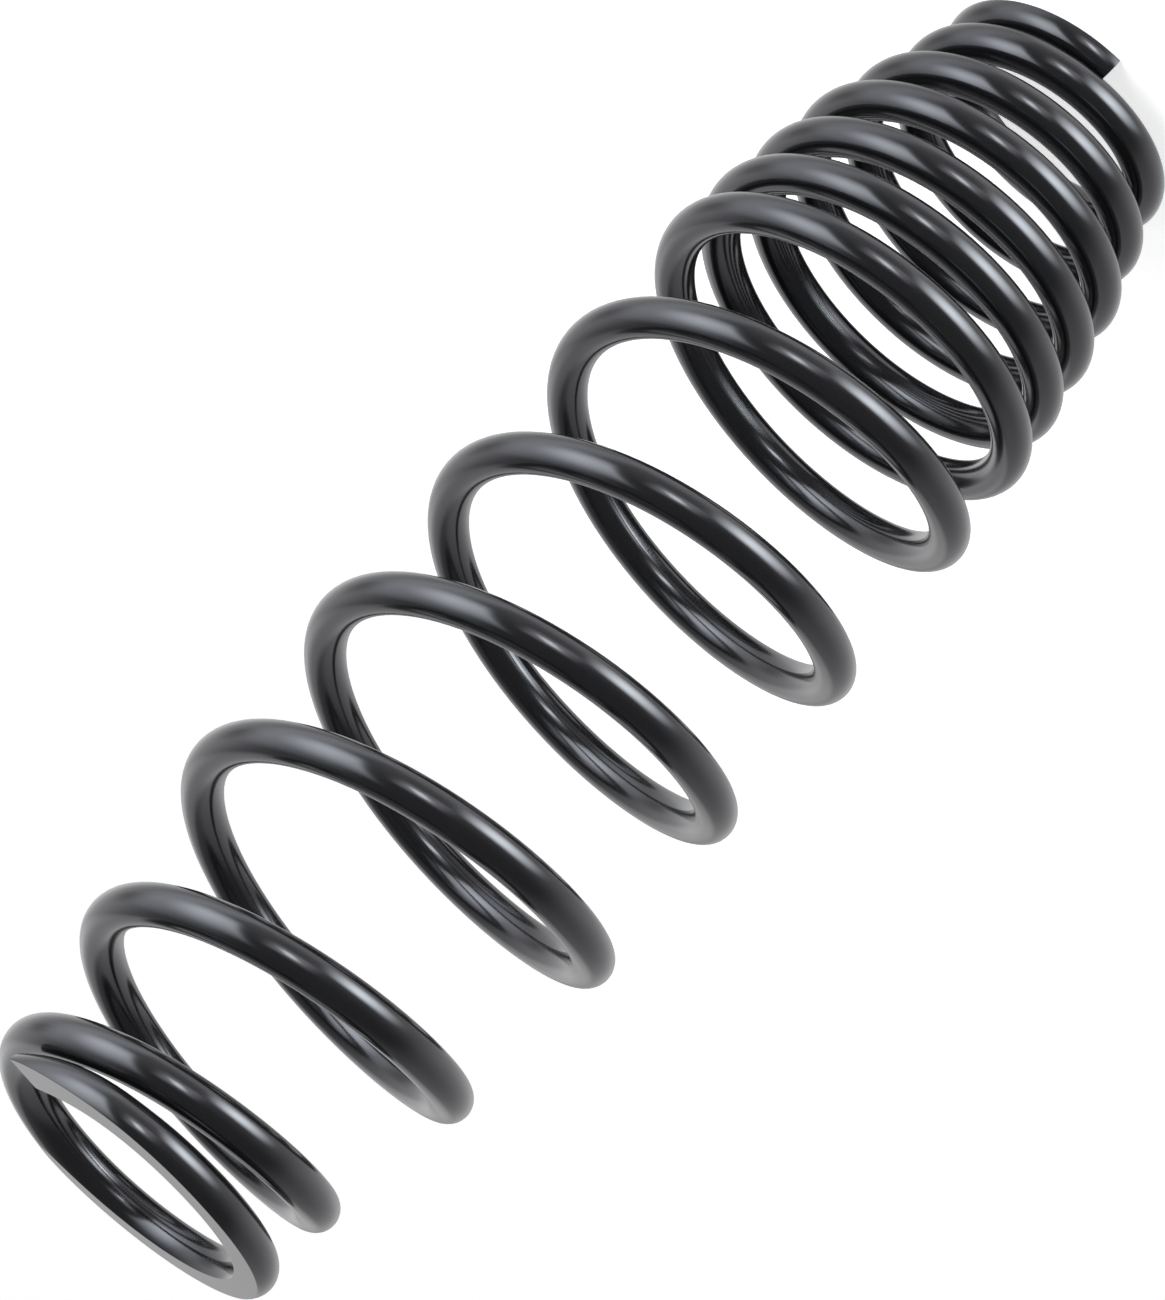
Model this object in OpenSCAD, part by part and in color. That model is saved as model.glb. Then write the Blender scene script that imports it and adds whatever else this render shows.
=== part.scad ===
// Coil spring for a shock absorber, wound right-handed from one round wire.
// The coil changes its diameter and its pitch on the way up: a small closed foot, close coils that widen,
// open body coils, a flare down to a flat top coil, and both ends ground square to the axis.
// Millimetres, +Z up the axis, z = 0 on the foot's ground face. Turns are counted up from the foot's tip.

/* [Wire] */
// Diameter of the round wire
wire_d = 8.3; // [5:0.1:11]
// Bevel round each sawn end of the wire
end_bevel = 0.5; // [0.1:0.1:1.5]

/* [Length and ends] */
// Free length, from ground face to ground face
free_len = 300; // [240:1:380]
// Gap left between each tip and the coil next to it
tip_gap = 0.3; // [0.2:0.1:1.5]
// Share of the wire's thickness left at the foot's tip after grinding
foot_tip_share = 0.57; // [0.25:0.01:0.75]
// Share of the wire's thickness left at the top's tip after grinding
top_tip_share = 0.39; // [0.25:0.01:0.75]

/* [Coil diameters, measured at the wire's centre] */
// Foot coil
foot_d = 49.4; // [40:0.2:64]
// Close coils, where their taper slackens
waist_d = 69.2; // [60:0.2:76]
// Body coils
body_d = 80.8; // [70:0.2:110]
// Top coil
top_d = 59.2; // [46:0.2:76]

/* [Gaps between coils] */
// Between the close coils
close_gap = 5.1; // [2.5:0.1:9]
// Between the coils that lead into the top coil
closing_gap = 13.3; // [7:0.1:20]
// How far the top's tip lifts clear of the coil under it
tip_lift = 1.2; // [0:0.1:3]

/* [Turns] */
// Foot coil, before its taper starts
foot_turns = 0.6; // [0.4:0.05:1.5]
// From the foot's tip to the waist
waist_turn = 3.2; // [2:0.05:4.5]
// From the foot's tip to the body coils
close_turns = 6.45; // [5.5:0.05:9]
// Open body coils
body_turns = 5.05; // [3:0.05:8]
// Coils that close towards the top
closing_turns = 0.95; // [0.7:0.05:2]
// Flare from the body's diameter to the top's
flare_turns = 1.85; // [1:0.05:3]
// Top coil at its own diameter, up to its tip
top_turns = 1.2; // [0.8:0.05:1.6]
// Where the wire starts, as an angle about the axis
start_angle = 264; // [0:1:359]

/* [Hidden] */
// Colour of the coat
coat = [0.13, 0.13, 0.14];
// Facets round the wire, and the most in its whole skin
wire_sides = 14;
most_facets = 11900;
// Turns either side of a section that its direction is taken over
look = 0.001;
// Turns over which one pitch or taper gives way to the next
foot_ease = 0.3;
waist_ease = 0.6;
widen_ease = 2;
open_ease = 0.5;
body_ease = 2.5;
flare_ease = 1;
top_ease = 0.6;
flat_ease = 0.35;
tip_ease = 0.12;
// Turns of the top's tip that ride up on the coil below
tip_turns = 0.13;

wire_r = wire_d / 2;
close_pitch = wire_d + close_gap;
closing_pitch = wire_d + closing_gap;

// Each end coil lies flat until it has just room to pass its own tip.
foot_flat = 1 - (wire_d + tip_gap) / close_pitch;
top_flat = 1 - (wire_d + tip_gap) / closing_pitch;
closing_from = close_turns + body_turns;
flat_from = closing_from + closing_turns;
ride_from = flat_from + top_flat;
turns = ride_from + tip_turns;
ride_pitch = closing_pitch + tip_lift / tip_turns;

// The wire's sections stand on this many rays about the axis, a multiple of four, so that X and Y cross
// the coils at their full width.
rays = 4 * floor(most_facets / (8 * wire_sides * turns));

// The body coils take up whatever length the ends leave.
foot_cut = foot_tip_share * wire_d - wire_r;
top_cut = top_tip_share * wire_d - wire_r;
body_pitch = (free_len - foot_cut - top_cut - close_pitch * (close_turns - foot_flat)
              - closing_pitch * closing_turns - ride_pitch * tip_turns) / body_turns;

// Growth of the coil's radius in each stretch
taper_1 = (waist_d - foot_d) / 2 / (waist_turn - foot_turns);
taper_2 = (body_d - waist_d) / 2 / (close_turns - waist_turn);
flare_to = turns - top_turns;
flare_from = flare_to - flare_turns;
taper_3 = (top_d - body_d) / 2 / flare_turns;

// A bend in a straight run: 0 before k, t - k after it, and smooth over w turns between.
function bend(t, k, w) = let (x = min(max((t - k) / w + 0.5, 0), 1))
    t > k + w / 2 ? t - k : w * (pow(x, 3) - pow(x, 4) / 2);

// Height and radius of the wire's centre, t turns from the foot's tip
function height(t) = foot_cut
    + close_pitch * bend(t, foot_flat, foot_ease)
    + (body_pitch - close_pitch) * bend(t, close_turns, open_ease)
    + (closing_pitch - body_pitch) * bend(t, closing_from, body_ease)
    - closing_pitch * bend(t, flat_from, flat_ease)
    + ride_pitch * bend(t, ride_from, tip_ease);
function radius(t) = foot_d / 2
    + taper_1 * bend(t, foot_turns, waist_ease)
    + (taper_2 - taper_1) * bend(t, waist_turn, waist_ease)
    - taper_2 * bend(t, close_turns, widen_ease)
    + taper_3 * bend(t, flare_from, flare_ease)
    - taper_3 * bend(t, flare_to, top_ease);
function centre(t) = let (a = start_angle + 360 * t) [radius(t) * cos(a), radius(t) * sin(a), height(t)];

// One section of the wire, square to its run, as a ring of points
function unit(v) = v / norm(v);
function section(t, r) = let (
    run = unit(centre(t + look) - centre(t - look)),
    out = unit(cross(run, [0, 0, 1])),
    up = cross(out, run))
    [for (i = [0:wire_sides - 1]) let (a = 360 * i / wire_sides)
        centre(t) + r * (cos(a) * out + sin(a) * up)];

module coil_spring() {
    // Turns at which the wire has a section: both ends, their bevels, and every ray between
    foot_bevel = end_bevel / (PI * foot_d);
    top_bevel = end_bevel / (PI * top_d);
    start = start_angle / 360;
    first_ray = ceil((start + 2 * foot_bevel) * rays);
    last_ray = floor((start + turns - 2 * top_bevel) * rays);
    stations = [0, foot_bevel, for (i = [first_ray:last_ray]) i / rays - start, turns - top_bevel, turns];
    last = len(stations) - 1;

    // Skin of triangles from section to section, and a cap on each end
    n = wire_sides;
    points = [for (i = [0:last]) let (r = i == 0 || i == last ? wire_r - end_bevel : wire_r)
        each section(stations[i], r)];
    skin = [for (i = [0:last - 1], j = [0:n - 1]) let (k = (j + 1) % n)
        each [[i * n + j, i * n + k, i * n + n + k], [i * n + j, i * n + n + k, i * n + n + j]]];
    caps = [[for (j = [n - 1:-1:0]) j], [for (j = [0:n - 1]) last * n + j]];
    reach = max(foot_d, waist_d, body_d, top_d) / 2 + wire_d;

    // Wound, then ground flat at both ends
    color(coat)
        intersection() {
            polyhedron(points, concat(skin, caps), convexity = 2 * ceil(turns));
            translate([-reach, -reach, 0]) cube([2 * reach, 2 * reach, free_len]);
        }
}

coil_spring();
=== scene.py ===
"""A shock absorber's coil spring in a gloss black powder coat, photographed in a pale studio.

The wire is swept again, finer than in the CAD, along the same run and with the same sizes. Its ends are
ground flat with softly broken edges, as a powder-coated spring has them. Millimetres for the spring's own
sizes, metres for the studio. +Z runs up the spring's axis, and z = 0 is the foot's ground face.
"""

import logging
import math
from dataclasses import dataclass, field
from enum import Enum
from typing import Union

import bpy
import numpy as np
from mathutils import Matrix, Vector


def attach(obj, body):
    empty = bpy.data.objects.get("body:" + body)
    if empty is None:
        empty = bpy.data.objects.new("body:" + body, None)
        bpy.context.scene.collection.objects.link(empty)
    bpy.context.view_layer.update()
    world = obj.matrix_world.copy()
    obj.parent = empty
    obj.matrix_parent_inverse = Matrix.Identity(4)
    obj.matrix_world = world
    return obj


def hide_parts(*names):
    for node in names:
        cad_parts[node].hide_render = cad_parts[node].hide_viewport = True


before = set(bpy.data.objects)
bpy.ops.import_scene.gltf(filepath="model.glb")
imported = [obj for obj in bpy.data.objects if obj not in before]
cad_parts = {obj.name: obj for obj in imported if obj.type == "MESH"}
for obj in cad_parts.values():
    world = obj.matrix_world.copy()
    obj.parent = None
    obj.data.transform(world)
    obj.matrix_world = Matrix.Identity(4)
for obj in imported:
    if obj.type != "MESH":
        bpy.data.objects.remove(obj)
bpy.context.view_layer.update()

log = logging.getLogger("shock_spring")

Term = Union[bpy.types.NodeSocket, float]

MM = 0.001
NODE = "coil_spring"
# Halvings that find where a ground face starts
HALVINGS = 60
# Light of the softboxes, a little cool beside the room's, and of the side wall, bluer still
COOL = (0.945, 1.0, 0.99)
BLUE = (0.965, 1.0, 1.05)


def reckon(tree: bpy.types.NodeTree, operation: str, first: Term, second: Term) -> bpy.types.NodeSocket:
    """Adds a sum of two terms to a node tree.

    Args:
        tree: The node tree.
        operation: What is done with the two, as the Math node names it.
        first: A socket, or a plain number.
        second: A socket, or a plain number.

    Returns:
        The socket with the result.
    """
    node = tree.nodes.new("ShaderNodeMath")
    node.operation = operation
    for place, term in zip(node.inputs, (first, second)):
        if isinstance(term, bpy.types.NodeSocket):
            tree.links.new(term, place)
        else:
            place.default_value = term
    return node.outputs["Value"]


class End(Enum):
    """The two ends of the wire, each with the side of its section that the grinding takes away."""

    FOOT = -1
    TOP = 1


@dataclass(frozen=True)
class Bend:
    """Where one slope smoothly gives way to another: the middle of the change, and how long it takes."""

    turn: float
    width: float

    def run(self, t: np.ndarray) -> np.ndarray:
        """Gives the distance run since the bend.

        Args:
            t: Turns from the foot's tip.

        Returns:
            0 before the bend, t - turn after it, and a smooth passage between them.
        """
        x = np.clip((t - self.turn) / self.width + 0.5, 0.0, 1.0)
        return np.where(t > self.turn + self.width / 2, t - self.turn, self.width * (x**3 - x**4 / 2))


@dataclass(frozen=True)
class Settle:
    """A short stretch where the wound wire lies a little off its plain run, in turns and millimetres."""

    turn: float
    reach: float
    rise: float
    outward: float

    def share(self, t: np.ndarray) -> np.ndarray:
        """Gives how much of the shift there is.

        Args:
            t: Turns from the foot's tip.

        Returns:
            1 in the middle of the stretch, falling smoothly to 0 at its ends.
        """
        x = np.clip((t - self.turn) / self.reach, -1.0, 1.0)
        return (1 - x * x) ** 2


@dataclass(frozen=True)
class WireRun:
    """The run of the wire's centre, in millimetres and turns, with the CAD's sizes."""

    wire_d: float = 8.3
    free_len: float = 300.0
    tip_gap: float = 0.3
    foot_tip_share: float = 0.57
    top_tip_share: float = 0.39
    foot_d: float = 49.4
    waist_d: float = 69.2
    body_d: float = 80.8
    top_d: float = 59.2
    close_gap: float = 5.1
    closing_gap: float = 13.3
    tip_lift: float = 1.2
    foot_turns: float = 0.6
    waist_turn: float = 3.2
    close_turns: float = 6.45
    body_turns: float = 5.05
    closing_turns: float = 0.95
    flare_turns: float = 1.85
    top_turns: float = 1.2
    tip_turns: float = 0.13
    start_angle: float = 264.0
    # Turns by which the top's tip runs on, about a millimetre of wire
    tip_over: float = 0.0055
    # Turns over which one pitch or taper gives way to the next
    foot_ease: float = 0.3
    waist_ease: float = 0.6
    widen_ease: float = 2.0
    open_ease: float = 0.5
    body_ease: float = 2.5
    flare_ease: float = 1.0
    top_ease: float = 0.6
    flat_ease: float = 0.35
    tip_ease: float = 0.12
    # Turns either side of a section that its direction is taken over
    look: float = 1e-4
    # The top's tip beds down towards the coil below, which comes up to meet it
    settles: tuple[Settle, ...] = (
        Settle(13.13, 0.10, -0.95, -0.49),
        Settle(13.052, 0.13, 0.47, 0.9),
        Settle(12.156, 0.12, 0.25, 0.2),
    )

    @property
    def wire_r(self) -> float:
        """Radius of the round wire."""
        return self.wire_d / 2

    @property
    def close_pitch(self) -> float:
        """Rise of the close coils in one turn."""
        return self.wire_d + self.close_gap

    @property
    def closing_pitch(self) -> float:
        """Rise of the coils that lead into the top coil, in one turn."""
        return self.wire_d + self.closing_gap

    @property
    def foot_flat(self) -> float:
        """Turns for which the foot coil lies flat, until it has just room to pass its own tip."""
        return 1 - (self.wire_d + self.tip_gap) / self.close_pitch

    @property
    def closing_from(self) -> float:
        """Turn at which the body coils start to close towards the top."""
        return self.close_turns + self.body_turns

    @property
    def flat_from(self) -> float:
        """Turn at which the top coil starts to lie flat."""
        return self.closing_from + self.closing_turns

    @property
    def ride_from(self) -> float:
        """Turn at which the top's tip starts to ride up on the coil below."""
        return self.flat_from + 1 - (self.wire_d + self.tip_gap) / self.closing_pitch

    @property
    def turns(self) -> float:
        """Turns of the whole wire, from tip to tip."""
        return self.ride_from + self.tip_turns

    @property
    def ride_pitch(self) -> float:
        """Rise of the riding tip, as if for one turn."""
        return self.closing_pitch + self.tip_lift / self.tip_turns

    @property
    def foot_cut(self) -> float:
        """Height of the wire's centre over the foot's ground face, at its tip."""
        return self.foot_tip_share * self.wire_d - self.wire_r

    @property
    def top_cut(self) -> float:
        """Depth of the wire's centre under the top's ground face, at its tip."""
        return self.top_tip_share * self.wire_d - self.wire_r

    @property
    def body_pitch(self) -> float:
        """Rise of the body coils in one turn: they take up the length that the ends leave."""
        ends = self.foot_cut + self.top_cut + self.ride_pitch * self.tip_turns
        close = self.close_pitch * (self.close_turns - self.foot_flat)
        return (self.free_len - ends - close - self.closing_pitch * self.closing_turns) / self.body_turns

    def height(self, t: np.ndarray) -> np.ndarray:
        """Gives the height of the wire's centre.

        Args:
            t: Turns from the foot's tip.

        Returns:
            Heights over the foot's ground face.
        """
        return (
            self.foot_cut
            + self.close_pitch * Bend(self.foot_flat, self.foot_ease).run(t)
            + (self.body_pitch - self.close_pitch) * Bend(self.close_turns, self.open_ease).run(t)
            + (self.closing_pitch - self.body_pitch) * Bend(self.closing_from, self.body_ease).run(t)
            - self.closing_pitch * Bend(self.flat_from, self.flat_ease).run(t)
            + self.ride_pitch * Bend(self.ride_from, self.tip_ease).run(t)
            + sum(settle.rise * settle.share(t) for settle in self.settles)
        )

    def radius(self, t: np.ndarray) -> np.ndarray:
        """Gives the distance of the wire's centre from the axis.

        Args:
            t: Turns from the foot's tip.

        Returns:
            Radii of the coil.
        """
        foot_taper = (self.waist_d - self.foot_d) / 2 / (self.waist_turn - self.foot_turns)
        close_taper = (self.body_d - self.waist_d) / 2 / (self.close_turns - self.waist_turn)
        top_taper = (self.top_d - self.body_d) / 2 / self.flare_turns
        flare_to = self.turns - self.top_turns
        return (
            self.foot_d / 2
            + foot_taper * Bend(self.foot_turns, self.waist_ease).run(t)
            + (close_taper - foot_taper) * Bend(self.waist_turn, self.waist_ease).run(t)
            - close_taper * Bend(self.close_turns, self.widen_ease).run(t)
            + top_taper * Bend(flare_to - self.flare_turns, self.flare_ease).run(t)
            - top_taper * Bend(flare_to, self.top_ease).run(t)
            + sum(settle.outward * settle.share(t) for settle in self.settles)
        )

    def centre(self, t: np.ndarray) -> np.ndarray:
        """Gives points on the wire's centre line.

        Args:
            t: Turns from the foot's tip.

        Returns:
            One point a row, in millimetres.
        """
        a = math.radians(self.start_angle) + 2 * math.pi * t
        r = self.radius(t)
        return np.column_stack([r * np.cos(a), r * np.sin(a), self.height(t)])

    def axes(self, t: np.ndarray) -> tuple[np.ndarray, np.ndarray, np.ndarray]:
        """Gives the directions that a section of the wire is drawn in.

        Args:
            t: Turns from the foot's tip.

        Returns:
            The run of the wire, the level direction out of the coil, and the direction up, one a row.
        """
        run = self.centre(t + self.look) - self.centre(t - self.look)
        run /= np.linalg.norm(run, axis=1)[:, None]
        out = np.cross(run, [0.0, 0.0, 1.0])
        out /= np.linalg.norm(out, axis=1)[:, None]
        return run, out, np.cross(out, run)

    def ground_turn(self, end: End) -> float:
        """Finds where the grinding just touches the wire.

        Args:
            end: The ground end.

        Returns:
            Turns from the foot's tip.
        """
        low, high = (0.0, 1.0) if end is End.FOOT else (self.turns - 1.0, self.turns)
        face = 0.0 if end is End.FOOT else self.free_len
        for _ in range(HALVINGS):
            t = np.array([(low + high) / 2])
            up = self.axes(t)[2][0, 2]
            over = end.value * (self.height(t)[0] - face) + self.wire_r * up > 0
            if over == (end is End.FOOT):
                low = t[0]
            else:
                high = t[0]
        return (low + high) / 2


@dataclass(frozen=True)
class PowderCoat:
    """Gloss black powder coat, cured on steel: a smooth dark film with a faint orange peel."""

    name: str = "gloss_black_powder_coat"
    colour: tuple[float, float, float] = (0.006, 0.006, 0.0061)
    ior: float = 1.72
    tint: tuple[float, float, float] = (0.905, 0.91, 1.0)
    roughness: float = 0.15
    roughness_spread: float = 0.04
    peel_size: float = 1.6 * MM
    peel_depth: float = 0.0009 * MM
    flow_size: float = 9.0 * MM
    flow_depth: float = 0.006 * MM

    def material(self) -> bpy.types.Material:
        """Builds the node material.

        Returns:
            The coat's material.
        """
        mat = bpy.data.materials.new(self.name)
        mat.use_nodes = True
        nodes, links = mat.node_tree.nodes, mat.node_tree.links
        shader = nodes["Principled BSDF"]
        shader.inputs["Base Color"].default_value = (*self.colour, 1.0)
        shader.inputs["IOR"].default_value = self.ior
        shader.inputs["Metallic"].default_value = 0.0
        shader.inputs["Specular Tint"].default_value = (*self.tint, 1.0)

        place = nodes.new("ShaderNodeTexCoord")
        peel = self._noise(mat, "Orange peel", 1.0 / self.peel_size, 2.0)
        flow = self._noise(mat, "Flow of the film", 1.0 / self.flow_size, 3.0)
        for noise in (peel, flow):
            links.new(place.outputs["Object"], noise.inputs["Vector"])

        spread = nodes.new("ShaderNodeMapRange")
        spread.label = "Gloss from place to place"
        spread.inputs["To Min"].default_value = self.roughness - self.roughness_spread / 2
        spread.inputs["To Max"].default_value = self.roughness + self.roughness_spread / 2
        links.new(flow.outputs["Fac"], spread.inputs["Value"])
        links.new(spread.outputs["Result"], shader.inputs["Roughness"])

        waves = self._bump(mat, "Waves of the film", self.flow_depth)
        grain = self._bump(mat, "Grain of the orange peel", self.peel_depth)
        links.new(flow.outputs["Fac"], waves.inputs["Height"])
        links.new(peel.outputs["Fac"], grain.inputs["Height"])
        links.new(waves.outputs["Normal"], grain.inputs["Normal"])
        links.new(grain.outputs["Normal"], shader.inputs["Normal"])
        return mat

    def _noise(self, mat: bpy.types.Material, label: str, scale: float, detail: float) -> bpy.types.Node:
        """Adds a noise texture.

        Args:
            mat: The material to add it to.
            label: What it stands for.
            scale: Grains in a metre.
            detail: How many finer layers it has.

        Returns:
            The noise node.
        """
        noise = mat.node_tree.nodes.new("ShaderNodeTexNoise")
        noise.label = label
        noise.inputs["Scale"].default_value = scale
        noise.inputs["Detail"].default_value = detail
        noise.inputs["Roughness"].default_value = 0.5
        return noise

    def _bump(self, mat: bpy.types.Material, label: str, depth: float) -> bpy.types.Node:
        """Adds a bump.

        Args:
            mat: The material to add it to.
            label: What it stands for.
            depth: How deep the relief is, in metres.

        Returns:
            The bump node.
        """
        bump = mat.node_tree.nodes.new("ShaderNodeBump")
        bump.label = label
        bump.inputs["Strength"].default_value = 1.0
        bump.inputs["Distance"].default_value = depth
        return bump


@dataclass
class CoilSpring:
    """The wound wire: a fine sweep whose ends are ground flat, with softly broken edges."""

    run: WireRun = field(default_factory=WireRun)
    coat: PowderCoat = field(default_factory=PowderCoat)
    sides: int = 36
    stations_a_turn: int = 96
    # A ground face starts as a pointed nose, where more stations stand, and closer together
    least_stations: int = 8
    nose_stations: int = 16
    crowding: float = 1.6
    # The most of the wire's radius that the face lies at, so that the nose keeps some width
    nose_share: float = 0.9999
    # Rounding of the sawn tips, and of the edges of the ground faces
    tip_round: float = 0.18
    face_edge: float = 0.14
    edge_steps: int = 3
    flat_steps: int = 6
    tip_steps: int = 5

    def build(self) -> bpy.types.Object:
        """Builds the wire, dresses it and puts it in the place of the CAD's node.

        Returns:
            The finished piece.
        """
        points, normals, faces = self._sweep()
        mesh = bpy.data.meshes.new("wound_wire")
        mesh.from_pydata((points * MM).tolist(), [], faces)
        mesh.validate(clean_customdata=False)
        mesh.polygons.foreach_set("use_smooth", [True] * len(mesh.polygons))
        mesh.normals_split_custom_set_from_vertices(normals.tolist())
        mesh.materials.append(self.coat.material())
        piece = bpy.data.objects.new("wound_wire", mesh)
        bpy.context.scene.collection.objects.link(piece)
        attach(piece, "root")
        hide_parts(NODE)
        return piece

    def _sweep(self) -> tuple[np.ndarray, np.ndarray, list[tuple[int, ...]]]:
        """Sweeps the wire from tip to tip.

        Returns:
            Points in millimetres, one normal a point, and the faces.
        """
        foot_t = self.run.ground_turn(End.FOOT)
        top_t = self.run.ground_turn(End.TOP)
        plain = np.linspace(foot_t, top_t, round((top_t - foot_t) * self.stations_a_turn) + 1)
        rings = self._ground_rings(End.FOOT, foot_t)[::-1]
        rings += [self._round_ring(t) for t in plain]
        rings += self._ground_rings(End.TOP, top_t)
        points = np.concatenate([ring[0] for ring in rings])
        normals = np.concatenate([ring[1] for ring in rings])
        counts = [len(ring[0]) for ring in rings]
        starts = np.concatenate([[0], np.cumsum(counts)])
        faces = []
        for i in range(len(rings) - 1):
            faces += self._band(int(starts[i]), counts[i], int(starts[i + 1]), counts[i + 1])
        first, last = counts[0], counts[-1]
        faces.append(tuple(range(first - 1, -1, -1)))
        faces.append(tuple(int(starts[-2]) + k for k in range(last)))
        return points, normals, faces

    def _round_ring(self, t: float) -> tuple[np.ndarray, np.ndarray]:
        """Draws a whole round section.

        Args:
            t: Turns from the foot's tip.

        Returns:
            The section's points, from its top round by the outside, and their normals.
        """
        at = np.array([t])
        _, out, up = self.run.axes(at)
        a = 2 * np.pi * np.arange(self.sides) / self.sides
        normal = np.sin(a)[:, None] * out[0] + np.cos(a)[:, None] * up[0]
        return self.run.centre(at)[0] + self.run.wire_r * normal, normal

    def _ground_rings(self, end: End, nose: float) -> list[tuple[np.ndarray, np.ndarray]]:
        """Draws the ground sections of one end.

        Args:
            end: Which end it is.
            nose: Where the grinding starts, in turns from the foot's tip.

        Returns:
            The sections, from the one next to the round wire to the tip's last.
        """
        tip = 0.0 if end is End.FOOT else self.run.turns + self.run.tip_over
        way = 1.0 if tip > nose else -1.0
        girth = 2 * math.pi * self.run.radius(np.array([tip]))[0]
        reach = abs(tip - nose) - self.tip_round / girth
        count = max(self.least_stations, round(reach * self.stations_a_turn))
        share = np.linspace(0.0, 1.0, count + self.nose_stations)[1:]
        share = share**self.crowding * (1 - share) + share * share
        rings = [self._ground_ring(end, nose + way * reach * s, 0.0) for s in share]
        for k in range(1, self.tip_steps + 1):
            turn = math.pi / 2 * k / self.tip_steps
            t = tip - way * self.tip_round * (1 - math.sin(turn)) / girth
            rings.append(self._ground_ring(end, t, turn))
        return rings

    def _ground_ring(self, end: End, t: float, turn: float) -> tuple[np.ndarray, np.ndarray]:
        """Draws one section that the grinding has cut.

        The section is an arc of the round wire, a soft edge, the ground chord and a soft edge.

        Args:
            end: Which end it is.
            t: Turns from the foot's tip.
            turn: How far the tip's rounding has turned the surface towards its end, in radians.

        Returns:
            The section's points and their normals.
        """
        at = np.array([t])
        run, out, up = self.run.axes(at)
        side, cut = end.value * out[0], end.value * up[0]
        tipward = end.value * run[0]
        level = np.array([0.0, 0.0, float(end.value)])
        face = 0.0 if end is End.FOOT else self.run.free_len
        shrink = 1 - math.cos(turn)
        r = self.run.wire_r - self.tip_round * shrink
        chord = end.value * (face - self.run.height(at)[0]) / up[0, 2]
        chord = min(chord - self.face_edge * shrink, r * self.nose_share)
        edge = min(self.face_edge, r - chord)
        half = math.sqrt(max((r - edge) ** 2 - (chord - edge) ** 2, 0.0))
        alpha = math.atan2(half, chord - edge)

        arc = alpha + (2 * math.pi - 2 * alpha) * np.arange(self.sides + 1) / self.sides
        left = np.linspace(-alpha, 0.0, self.edge_steps + 1)[1:]
        flat = np.linspace(-half, half, self.flat_steps + 1)[1:]
        right = np.linspace(0.0, alpha, self.edge_steps + 1)[1:-1]
        # Each place: across, towards the face, its normal's angle, and how level the normal is made.
        places = [(r * math.sin(a), r * math.cos(a), a, 0.0) for a in arc]
        for middle, angles in ((-half, left), (None, flat), (half, right)):
            if middle is None:
                places += [(x, chord, 0.0, 1.0) for x in angles]
                continue
            for a in angles:
                across, deep = middle + edge * math.sin(a), chord - edge + edge * math.cos(a)
                places.append((across, deep, a, 1 - abs(a) / alpha))

        spots = np.array(places)
        points = self.run.centre(at)[0] + spots[:, :1] * side + spots[:, 1:2] * cut
        normals = np.sin(spots[:, 2:3]) * side + np.cos(spots[:, 2:3]) * cut + spots[:, 3:4] * (level - cut)
        normals = math.cos(turn) * normals + math.sin(turn) * tipward
        return points, normals / np.linalg.norm(normals, axis=1)[:, None]

    def _band(self, a: int, a_count: int, b: int, b_count: int) -> list[tuple[int, ...]]:
        """Joins two sections with faces.

        Args:
            a: First point of the section nearer the foot's tip.
            a_count: How many points it has.
            b: First point of the next section.
            b_count: How many points that has.

        Returns:
            The faces of the band between them.
        """
        n = self.sides
        if a_count == b_count:
            c = a_count
            return [(a + j, a + (j + 1) % c, b + (j + 1) % c, b + j) for j in range(c)]
        if a_count == n:
            arc = [(a + j, a + (j + 1) % n, b + j + 1, b + j) for j in range(n)]
            return arc + [(a, b + (k + 1) % b_count, b + k) for k in range(n, b_count)]
        # The foot's sections start at their lowest point, half a ring on from the round ones.
        low = [b + (j + n // 2) % n for j in range(n)]
        arc = [(a + j, a + j + 1, low[(j + 1) % n], low[j]) for j in range(n)]
        return arc + [(a + k, a + (k + 1) % a_count, low[0]) for k in range(n, a_count)]


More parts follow.
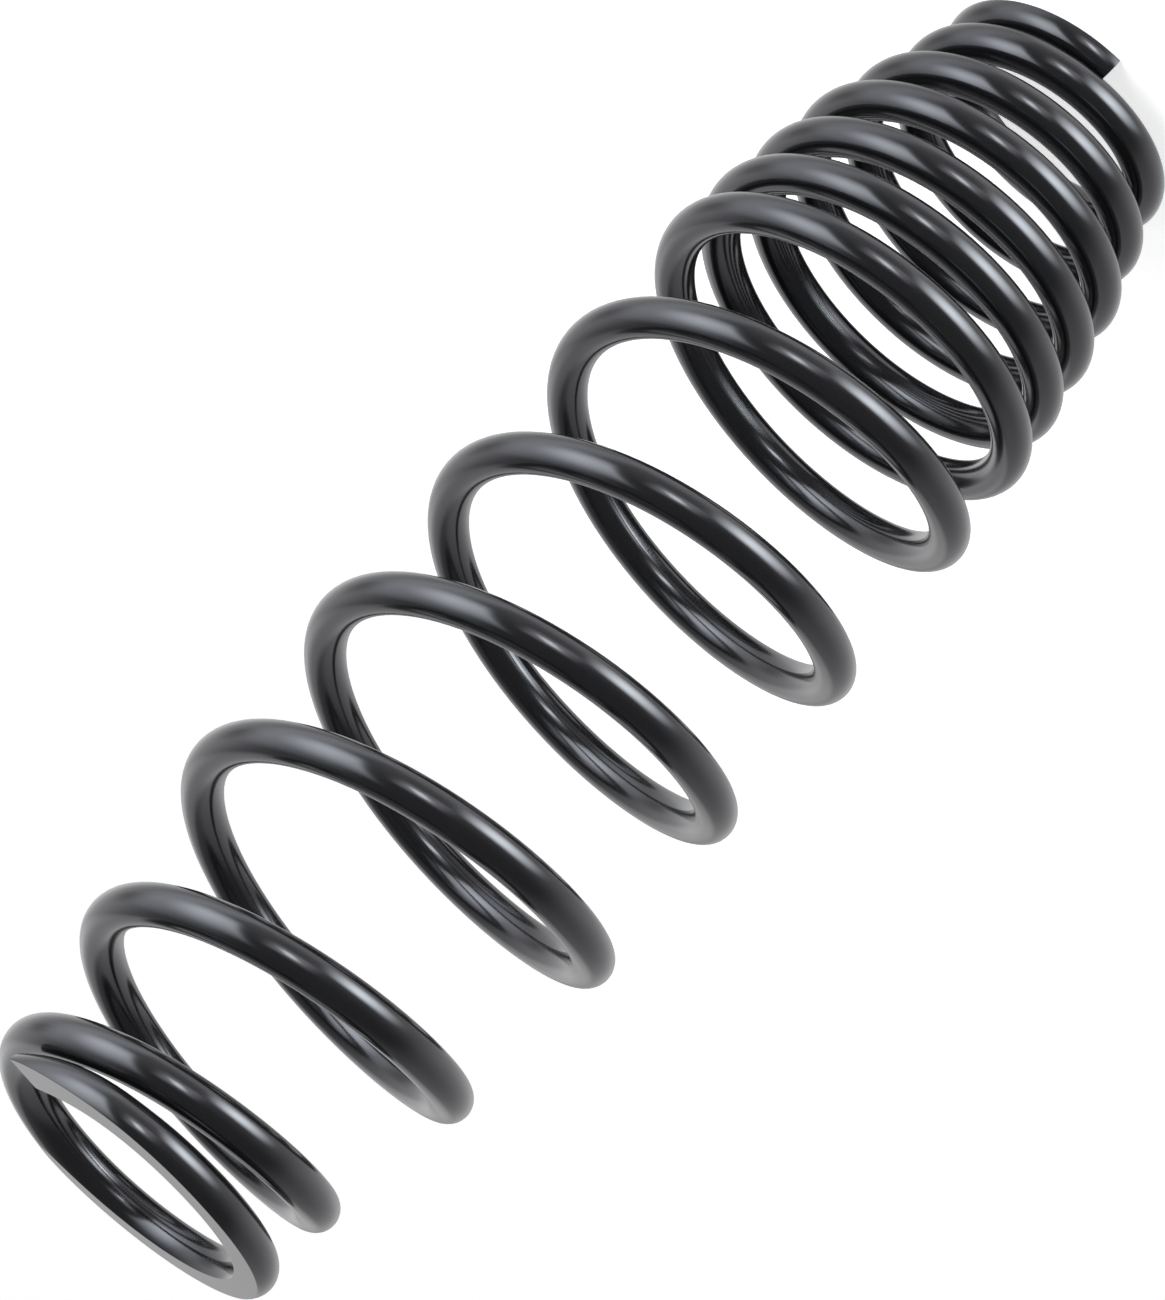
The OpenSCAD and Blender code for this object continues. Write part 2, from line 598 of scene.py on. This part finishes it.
@dataclass(frozen=True)
class SoftBox:
    """A studio softbox: where it stands, seen from the spring, its size, and how its cloth glows."""

    name: str
    azimuth: float
    elevation: float
    distance: float
    width: float
    height: float
    roll: float
    brightness: float
    rims: tuple[float, float, float, float]
    colour: tuple[float, float, float] = (1.0, 1.0, 1.0)

    def build(self, aim: Vector) -> bpy.types.Object:
        """Sets the softbox up, as a cloth that glows and fades over a rim along each edge.

        Args:
            aim: The point that it faces.

        Returns:
            The cloth.
        """
        left, right = -self.width / 2 - self.rims[0], self.width / 2 + self.rims[1]
        low, high = -self.height / 2 - self.rims[2], self.height / 2 + self.rims[3]
        mesh = bpy.data.meshes.new(self.name)
        corners = [(left, low, 0.0), (right, low, 0.0), (right, high, 0.0), (left, high, 0.0)]
        mesh.from_pydata(corners, [], [(3, 2, 1, 0)])
        mesh.materials.append(self._cloth())
        cloth = bpy.data.objects.new(self.name, mesh)
        a, e = math.radians(self.azimuth), math.radians(self.elevation)
        away = Vector((math.cos(e) * math.cos(a), math.cos(e) * math.sin(a), math.sin(e)))
        level = Vector((0.0, 0.0, 1.0)).cross(away).normalized()
        turn = Matrix((level, away.cross(level), away)).transposed().to_4x4()
        lean = Matrix.Rotation(math.radians(self.roll), 4, "Z")
        cloth.matrix_world = Matrix.Translation(aim + away * self.distance) @ turn @ lean
        bpy.context.scene.collection.objects.link(cloth)
        cloth.visible_camera = False
        cloth.visible_shadow = False
        return cloth

    def _cloth(self) -> bpy.types.Material:
        """Builds the glowing cloth, which is black on its back.

        Returns:
            The cloth's material.
        """
        mat = bpy.data.materials.new(self.name + "_cloth")
        mat.use_nodes = True
        tree = mat.node_tree
        nodes, links = tree.nodes, tree.links
        nodes.remove(nodes["Principled BSDF"])
        place = nodes.new("ShaderNodeTexCoord")
        split = nodes.new("ShaderNodeSeparateXYZ")
        links.new(place.outputs["Object"], split.inputs["Vector"])
        side = nodes.new("ShaderNodeNewGeometry")
        level = reckon(tree, "SUBTRACT", 1.0, side.outputs["Backfacing"])
        level = reckon(tree, "MULTIPLY", level, self.brightness)
        halves = (self.width / 2, self.width / 2, self.height / 2, self.height / 2)
        for axis, way, half, rim in zip("XXYY", (-1.0, 1.0, -1.0, 1.0), halves, self.rims):
            step = nodes.new("ShaderNodeMapRange")
            step.interpolation_type = "SMOOTHSTEP"
            step.inputs["From Min"].default_value = way * (half - rim)
            step.inputs["From Max"].default_value = way * (half + rim)
            step.inputs["To Min"].default_value = 1.0
            step.inputs["To Max"].default_value = 0.0
            links.new(split.outputs[axis], step.inputs["Value"])
            level = reckon(tree, "MULTIPLY", level, step.outputs["Result"])
        glow = nodes.new("ShaderNodeEmission")
        glow.inputs["Color"].default_value = (*self.colour, 1.0)
        links.new(level, glow.inputs["Strength"])
        # What stands behind a cloth shows through it, so that two of them can overlap.
        clear = nodes.new("ShaderNodeBsdfTransparent")
        both = nodes.new("ShaderNodeAddShader")
        links.new(glow.outputs["Emission"], both.inputs[0])
        links.new(clear.outputs["BSDF"], both.inputs[1])
        links.new(both.outputs["Shader"], nodes["Material Output"].inputs["Surface"])
        return mat


@dataclass(frozen=True)
class Lobe:
    """A part of the room that is darker or brighter than the rest, round one direction.

    Its rim and its core are given as the cosine of their angle from its middle.
    """

    azimuth: float
    elevation: float
    amount: float
    rim: float
    core: float

    @property
    def towards(self) -> tuple[float, float, float]:
        """The direction of its middle."""
        a, e = math.radians(self.azimuth), math.radians(self.elevation)
        return math.cos(e) * math.cos(a), math.cos(e) * math.sin(a), math.sin(e)


@dataclass(frozen=True)
class Room:
    """The room round the spring: white walls with darker and brighter parts, seen only as reflections."""

    white: float = 0.75
    lobes: tuple[Lobe, ...] = (
        # Towards the camera, and overhead
        Lobe(261.2, 22.1, -0.142, -0.204, 0.498),
        Lobe(13.0, 89.0, -0.455, -0.85, 0.415),
        # Walls on the right, on the left and behind, which the near ground face mirrors
        Lobe(36.0, 0.4, 0.80, 0.50, 0.959),
        Lobe(150.0, -3.0, 0.308, 0.555, 0.841),
        Lobe(90.0, 24.0, 0.58, 0.86, 0.96),
        # A dark stand before the right wall, the floor below it, and the floor before the foot
        Lobe(25.3, 7.7, -1.2, 0.942, 1.08),
        Lobe(22.0, -20.0, -0.313, 0.85, 0.992),
        Lobe(301.5, -73.9, 0.454, 0.864, 0.976),
    )

    def build(self) -> bpy.types.World:
        """Builds the world's nodes.

        Returns:
            The world.
        """
        world = bpy.data.worlds.new("studio_room")
        bpy.context.scene.world = world
        world.use_nodes = True
        tree = world.node_tree
        nodes, links = tree.nodes, tree.links
        room = nodes["Background"]
        place = nodes.new("ShaderNodeTexCoord")
        level = self.white
        for lobe in self.lobes:
            dot = nodes.new("ShaderNodeVectorMath")
            dot.operation = "DOT_PRODUCT"
            dot.inputs[1].default_value = lobe.towards
            shade = nodes.new("ShaderNodeMapRange")
            shade.interpolation_type = "SMOOTHSTEP"
            shade.inputs["From Min"].default_value = lobe.rim
            shade.inputs["From Max"].default_value = lobe.core
            shade.inputs["To Max"].default_value = lobe.amount
            links.new(place.outputs["Generated"], dot.inputs[0])
            links.new(dot.outputs["Value"], shade.inputs["Value"])
            level = reckon(tree, "ADD", level, shade.outputs["Result"])
        links.new(level, room.inputs["Strength"])
        room.inputs["Color"].default_value = (1.0, 1.0, 1.0, 1.0)

        backdrop = nodes.new("ShaderNodeBackground")
        backdrop.label = "White behind the object"
        backdrop.inputs["Strength"].default_value = 1.0
        backdrop.inputs["Color"].default_value = (1.0, 1.0, 1.0, 1.0)
        path = nodes.new("ShaderNodeLightPath")
        choose = nodes.new("ShaderNodeMixShader")
        links.new(path.outputs["Is Camera Ray"], choose.inputs["Fac"])
        links.new(room.outputs["Background"], choose.inputs[1])
        links.new(backdrop.outputs["Background"], choose.inputs[2])
        links.new(choose.outputs["Shader"], nodes["World Output"].inputs["Surface"])
        return world


@dataclass(frozen=True)
class Floor:
    """A pale studio floor under the foot's ground face, which takes the spring's soft shadow."""

    size: float = 8.0
    colour: float = 0.85
    glow: float = 0.70

    def build(self) -> bpy.types.Object:
        """Builds the floor.

        Returns:
            The floor.
        """
        half = self.size / 2
        mesh = bpy.data.meshes.new("studio_floor")
        corners = [(-half, -half, 0.0), (half, -half, 0.0), (half, half, 0.0), (-half, half, 0.0)]
        mesh.from_pydata(corners, [], [(0, 1, 2, 3)])
        floor = bpy.data.objects.new("studio_floor", mesh)
        bpy.context.scene.collection.objects.link(floor)

        mat = bpy.data.materials.new("pale_floor")
        mat.use_nodes = True
        tree = mat.node_tree
        nodes, links = tree.nodes, tree.links
        nodes.remove(nodes["Principled BSDF"])
        paint = nodes.new("ShaderNodeBsdfDiffuse")
        paint.inputs["Color"].default_value = (self.colour, self.colour, self.colour, 1.0)
        # The floor's white in the picture, which puts no light on the spring
        glow = nodes.new("ShaderNodeEmission")
        path = nodes.new("ShaderNodeLightPath")
        links.new(reckon(tree, "MULTIPLY", path.outputs["Is Camera Ray"], self.glow), glow.inputs["Strength"])
        both = nodes.new("ShaderNodeAddShader")
        links.new(paint.outputs["BSDF"], both.inputs[0])
        links.new(glow.outputs["Emission"], both.inputs[1])
        links.new(both.outputs["Shader"], nodes["Material Output"].inputs["Surface"])
        mesh.materials.append(mat)
        # The coat mirrors the bright room round it, and the low softbox shines through the floor.
        floor.visible_glossy = False
        floor.visible_shadow = False
        return floor


@dataclass(frozen=True)
class ProductCamera:
    """The photograph's camera: where it stands, what it looks at, and how far it leans over."""

    place: tuple[float, float, float] = (-0.00294, -0.75050, 0.45380)
    aim: tuple[float, float, float] = (0.00043, 0.0, 0.16218)
    lean: float = -138.783
    lens: float = 114.51
    sensor: float = 36.0
    nearest: float = 0.01

    def build(self) -> bpy.types.Object:
        """Sets the camera up and makes it the scene's.

        Returns:
            The camera.
        """
        data = bpy.data.cameras.new("product_camera")
        data.sensor_fit = "AUTO"
        data.sensor_width = self.sensor
        data.lens = self.lens
        data.clip_start = self.nearest
        camera = bpy.data.objects.new("product_camera", data)
        look = Vector(self.aim) - Vector(self.place)
        turn = look.to_track_quat("-Z", "Y").to_matrix().to_4x4()
        lean = Matrix.Rotation(math.radians(self.lean), 4, "Z")
        camera.matrix_world = Matrix.Translation(self.place) @ turn @ lean
        bpy.context.scene.collection.objects.link(camera)
        bpy.context.scene.camera = camera
        return camera


@dataclass
class Studio:
    """The pale studio: floor, room, softboxes and camera."""

    aim: tuple[float, float, float] = (0.0, 0.0, 0.15)
    room: Room = field(default_factory=Room)
    floor: Floor = field(default_factory=Floor)
    camera: ProductCamera = field(default_factory=ProductCamera)
    boxes: tuple[SoftBox, ...] = (
        SoftBox(
            "side_softbox",
            azimuth=-33.9,
            elevation=20.4,
            distance=0.591,
            width=0.325,
            height=0.525,
            roll=5.9,
            brightness=4.4,
            rims=(0.03, 0.19, 0.22, 0.32),
            colour=COOL,
        ),
        SoftBox(
            "side_wall",
            azimuth=-16.4,
            elevation=8.8,
            distance=0.245,
            width=0.178,
            height=0.634,
            roll=-3.3,
            brightness=1.44,
            rims=(0.06, 0.09, 0.48, 0.31),
            colour=BLUE,
        ),
        SoftBox(
            "low_softbox",
            azimuth=241.4,
            elevation=-32.5,
            distance=0.615,
            width=0.297,
            height=0.415,
            roll=-5.5,
            brightness=9.9,
            rims=(0.20, 0.14, 0.24, 0.14),
            colour=COOL,
        ),
        SoftBox(
            "front_softbox",
            azimuth=281.5,
            elevation=2.0,
            distance=2.904,
            width=0.42,
            height=0.84,
            roll=23.7,
            brightness=6.8,
            rims=(0.08, 0.08, 0.15, 0.15),
            colour=COOL,
        ),
        SoftBox(
            "front_wall",
            azimuth=281.0,
            elevation=0.0,
            distance=3.396,
            width=1.50,
            height=2.20,
            roll=0.0,
            brightness=1.3,
            rims=(0.40, 0.30, 0.40, 0.40),
        ),
    )

    def build(self) -> None:
        """Builds the whole studio and sets how the picture shows its tones."""
        self.camera.build()
        self.room.build()
        self.floor.build()
        for box in self.boxes:
            box.build(Vector(self.aim))
            log.info("lamp %s", box.name)
        bpy.context.scene.view_settings.view_transform = "Standard"


def main() -> None:
    """Builds the spring and its studio in order."""
    logging.basicConfig(level=logging.INFO, format="%(name)s: %(message)s")
    spring = CoilSpring()
    piece = spring.build()
    log.info("piece %s: %d faces, %.2f turns", piece.name, len(piece.data.polygons), spring.run.turns)
    Studio().build()


if __name__ == "__main__":
    main()
